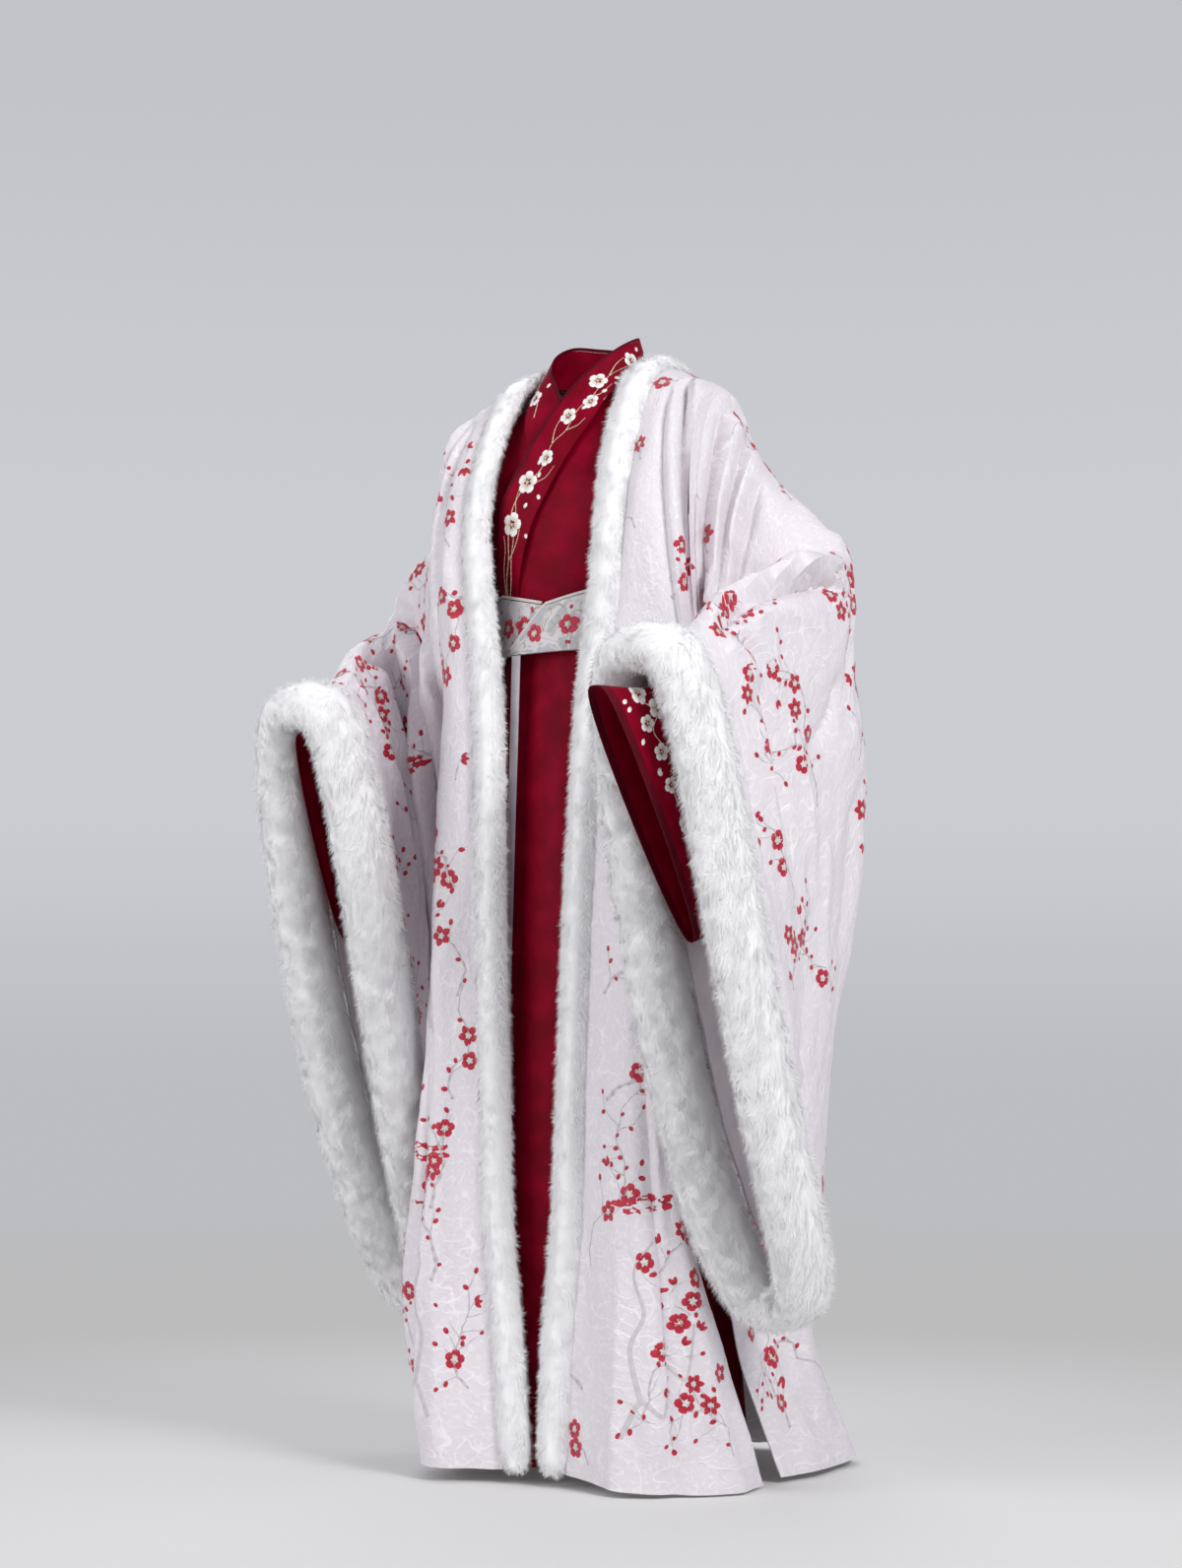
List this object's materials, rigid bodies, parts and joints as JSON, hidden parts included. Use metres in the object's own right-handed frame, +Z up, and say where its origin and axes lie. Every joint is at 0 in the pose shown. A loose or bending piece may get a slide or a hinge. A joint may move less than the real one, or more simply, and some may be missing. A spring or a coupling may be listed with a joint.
{
  "type": "hanfu robe",
  "caption": "Open fur-edged outer robe with long bag sleeves over a cross-collar inner robe and wrapped belt, hollow and holding its worn shape.",
  "frame": {"origin": "middle of the neck at shoulder height, where the wearer holds the robe up", "axes": "+Z up, +X towards the wearer's left, -Y towards the front"},
  "size_m": [0.836, 0.8236, 1.5636],
  "materials": {
    "outer_satin": "pale pinkish-white satin jacquard with grey branches and red plum blossoms",
    "lining_satin": "plain pale satin",
    "white_fur": "long white fur",
    "crimson_satin": "deep crimson satin with pale embroidery",
    "dark_red_edge": "dark red bound edge",
    "belt_brocade": "pale grey brocade with red blossoms",
    "belt_cord": "pale beaded cord",
    "silver_ribbon": "silver-grey satin ribbon"
  },
  "bodies": {
    "root": {"outer_body_left": "outer_satin", "outer_body_right": "outer_satin", "outer_sleeve_left": "outer_satin", "outer_sleeve_right": "outer_satin", "sleeve_lining_left": "lining_satin", "sleeve_lining_right": "lining_satin", "fur_front_left": "white_fur", "fur_front_right": "white_fur", "fur_cuff_left": "white_fur", "fur_cuff_right": "white_fur", "inner_body_left": "crimson_satin", "inner_body_right": "crimson_satin", "inner_sleeve_left": "crimson_satin", "inner_sleeve_right": "crimson_satin", "inner_cuff_left": "dark_red_edge", "inner_cuff_right": "dark_red_edge", "collar_left": "crimson_satin", "collar_right": "crimson_satin", "collar_edge_left": "dark_red_edge", "collar_edge_right": "dark_red_edge", "belt_left": "belt_brocade", "belt_right": "belt_brocade", "belt_trim_left": "belt_cord", "belt_trim_right": "belt_cord", "skirt_front": "crimson_satin", "skirt_back": "crimson_satin", "ribbon": "silver_ribbon"}
  },
  "joints": []
}
